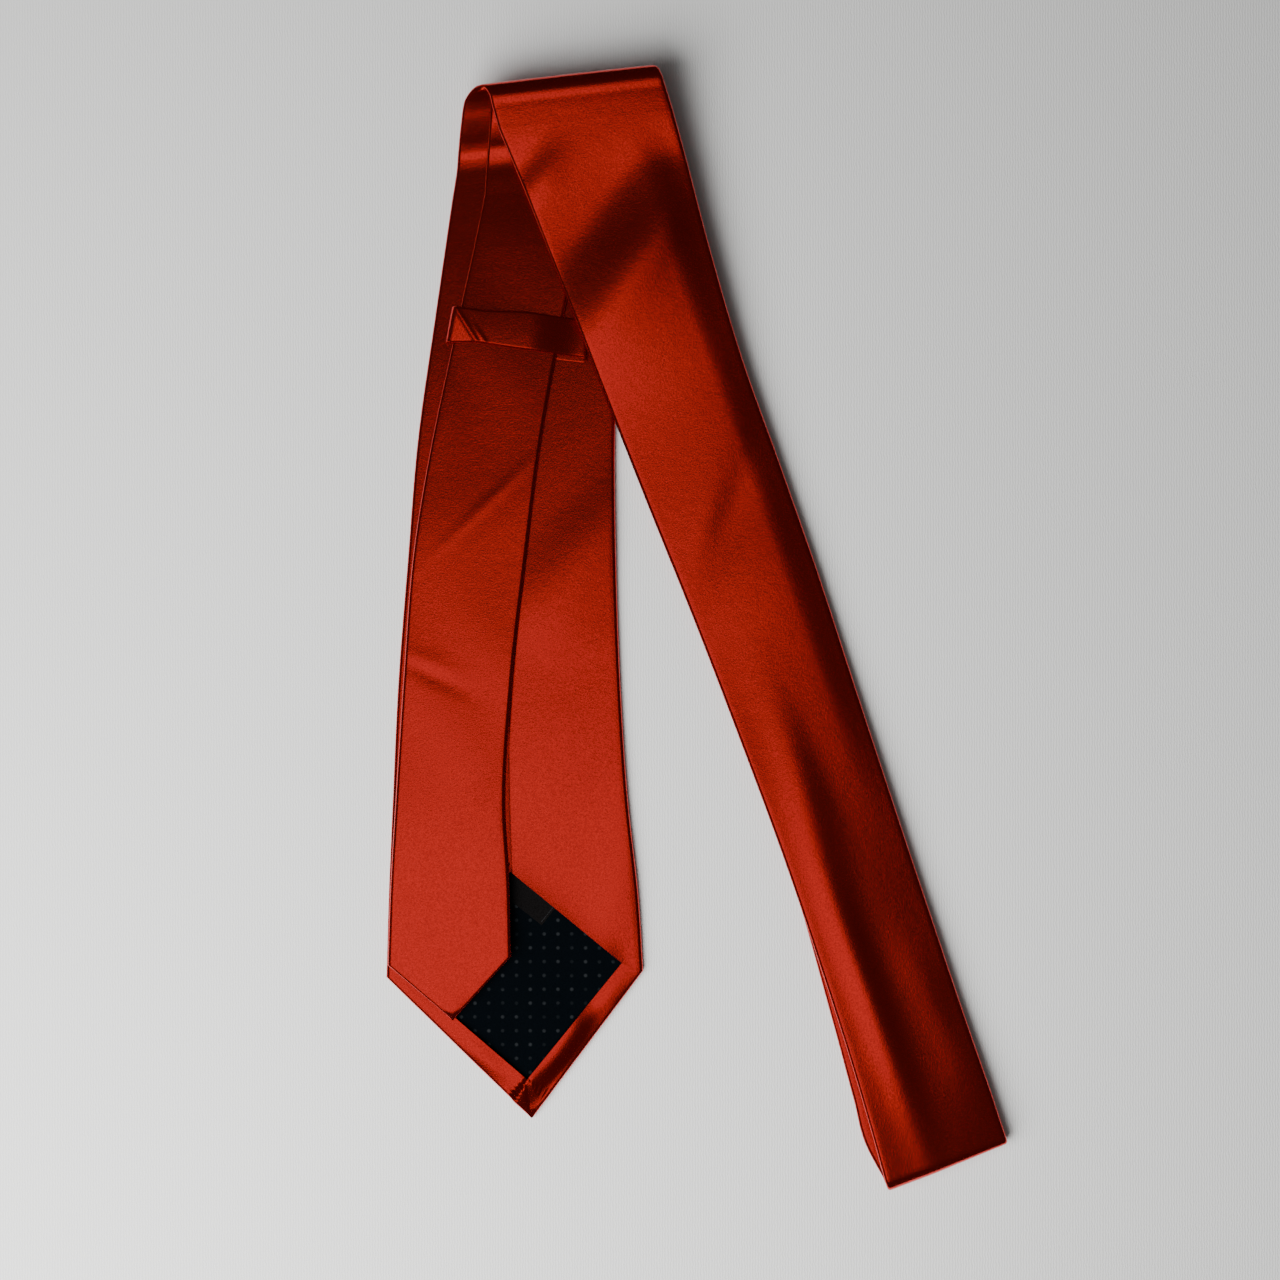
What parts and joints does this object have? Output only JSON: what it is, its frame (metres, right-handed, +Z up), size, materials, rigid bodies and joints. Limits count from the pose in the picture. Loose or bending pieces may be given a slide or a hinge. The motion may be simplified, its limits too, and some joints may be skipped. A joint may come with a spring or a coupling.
{
  "type": "necktie",
  "caption": "Satin necktie lying folded on a table, wide blade face down, its tail led back up and through the keeper loop.",
  "frame": {"origin": "middle of the folded tie's outline, on the table surface it lies on", "axes": "+X across the tie towards the neck strip, +Y along the tie towards the top fold, +Z up from the table"},
  "size_m": [0.216, 0.3855, 0.0146],
  "materials": {
    "satin": "satin",
    "lining": "dotted twill",
    "interlining": "brushed wool",
    "thread": "satin",
    "label": "woven",
    "label_thread": "matte"
  },
  "bodies": {
    "blade": {"blade_shell": "satin", "blade_interlining": "interlining", "blade_tipping": "lining", "blade_bar_tack": "thread", "blade_slip_stitch": "thread", "label": "label", "label_stitches": "label_thread", "keeper_loop": "satin", "keeper_tack": "thread", "top_fold_shell": "satin", "top_fold_interlining": "interlining", "tail_fold_shell": "satin", "tail_fold_interlining": "interlining", "tail_slack_shell": "satin", "tail_slack_interlining": "interlining"},
    "neck": {"blade_shell_upper": "satin", "neck_shell": "satin", "tail_shell_upper": "satin", "neck_interlining": "interlining", "blade_join_seam": "thread", "tail_join_seam": "thread", "neck_front_slip_stitch": "thread", "neck_back_slip_stitch": "thread"},
    "tail": {"tail_shell": "satin", "tail_interlining": "interlining", "tail_tipping": "lining", "tail_bar_tack": "thread", "tail_slip_stitch": "thread"}
  },
  "joints": [
    {"name": "top_fold", "type": "hinge", "parent": "blade", "child": "neck", "pos_m": [-0.04426, 0.18627, 0.0073], "axis": [-0.9936, -0.1132, 0], "range_deg": [0, 175], "deforming": ["top_fold_shell", "top_fold_interlining", "tail_fold_shell", "tail_fold_interlining"]},
    {"name": "tail_slide", "type": "slide", "parent": "blade", "child": "tail", "axis": [-0.1219, -0.9925, 0], "range_m": [-0.008, 0.008], "deforming": ["tail_slack_shell", "tail_slack_interlining"]}
  ]
}
